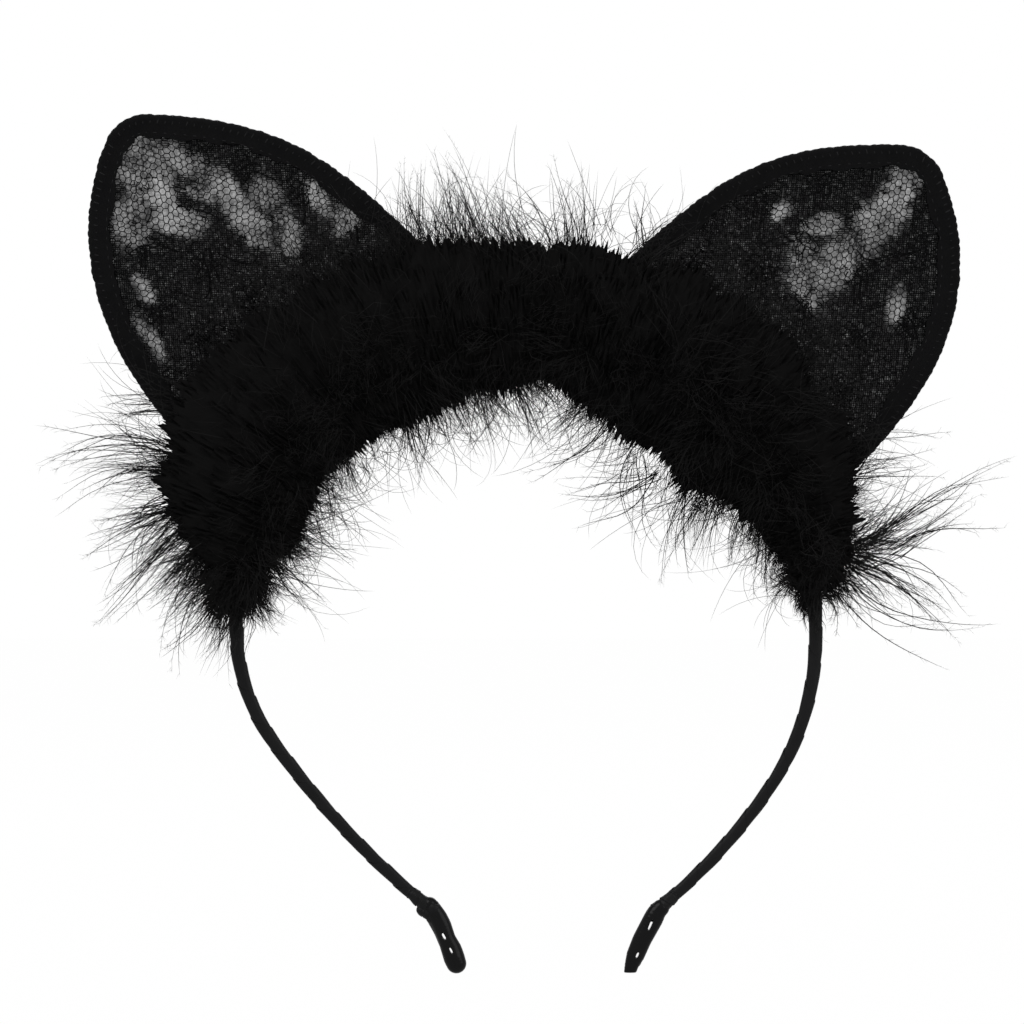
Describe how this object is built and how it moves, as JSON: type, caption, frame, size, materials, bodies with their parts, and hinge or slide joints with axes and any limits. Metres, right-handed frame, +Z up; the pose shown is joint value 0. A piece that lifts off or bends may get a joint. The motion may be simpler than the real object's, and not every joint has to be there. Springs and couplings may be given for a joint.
{
  "type": "cat ears headband",
  "caption": "Ribbon-wound wire headband with two wire-framed lace cat ears and a feather trim along the arch.",
  "frame": {"origin": "centre of the arch's circle, where the wearer's head goes", "axes": "+X to the right of the front view, -Y to the front, +Z up through the crown"},
  "size_m": [0.2062, 0.0279, 0.2024],
  "materials": {
    "spring_wire": "drawn spring wire",
    "satin_ribbon": "black satin ribbon",
    "lacquer": "glossy black dipped sleeve",
    "hem_cloth": "matte black folded cloth",
    "lace": "black net lace",
    "lining": "sheer black gauze",
    "thread": "black thread",
    "cord": "twisted cotton cord",
    "plume": "black marabou down"
  },
  "bodies": {
    "crown": {"crown_wires": "spring_wire", "crown_ribbon": "satin_ribbon", "left_ear_lashings": "thread", "right_ear_lashings": "thread", "feather_cord": "cord", "trim_ties": "thread", "left_plumes": "plume", "crown_plumes": "plume", "right_plumes": "plume"},
    "left_arm": {"left_arm_wire": "spring_wire", "left_arm_ribbon": "satin_ribbon", "left_tip_sleeve": "lacquer", "left_tip_binding": "satin_ribbon"},
    "right_arm": {"right_arm_wire": "spring_wire", "right_arm_ribbon": "satin_ribbon", "right_tip_sleeve": "lacquer", "right_tip_binding": "satin_ribbon"},
    "left_ear": {"left_ear_wire": "spring_wire", "left_ear_hem": "hem_cloth", "left_front_lace": "lace", "left_lining": "lining", "left_back_lace": "lace"},
    "right_ear": {"right_ear_wire": "spring_wire", "right_ear_hem": "hem_cloth", "right_front_lace": "lace", "right_lining": "lining", "right_back_lace": "lace"}
  },
  "joints": [
    {"name": "left_arm_flex", "type": "hinge", "parent": "crown", "child": "left_arm", "pos_m": [-0.0685, 0, 0], "axis": [0, 1, 0], "range_deg": [-5, 25], "stiffness_Nm_per_rad": 0.35},
    {"name": "right_arm_flex", "type": "hinge", "parent": "crown", "child": "right_arm", "pos_m": [0.0685, 0, 0], "axis": [0, -1, 0], "range_deg": [-5, 25], "stiffness_Nm_per_rad": 0.35},
    {"name": "left_ear_tilt", "type": "hinge", "parent": "crown", "child": "left_ear", "pos_m": [-0.03529, 0, 0.04769], "axis": [-0.8039, 0, -0.5948], "range_deg": [-9, 24]},
    {"name": "right_ear_tilt", "type": "hinge", "parent": "crown", "child": "right_ear", "pos_m": [0.03652, 0, 0.04675], "axis": [-0.788, 0, 0.6157], "range_deg": [-9, 24]}
  ]
}
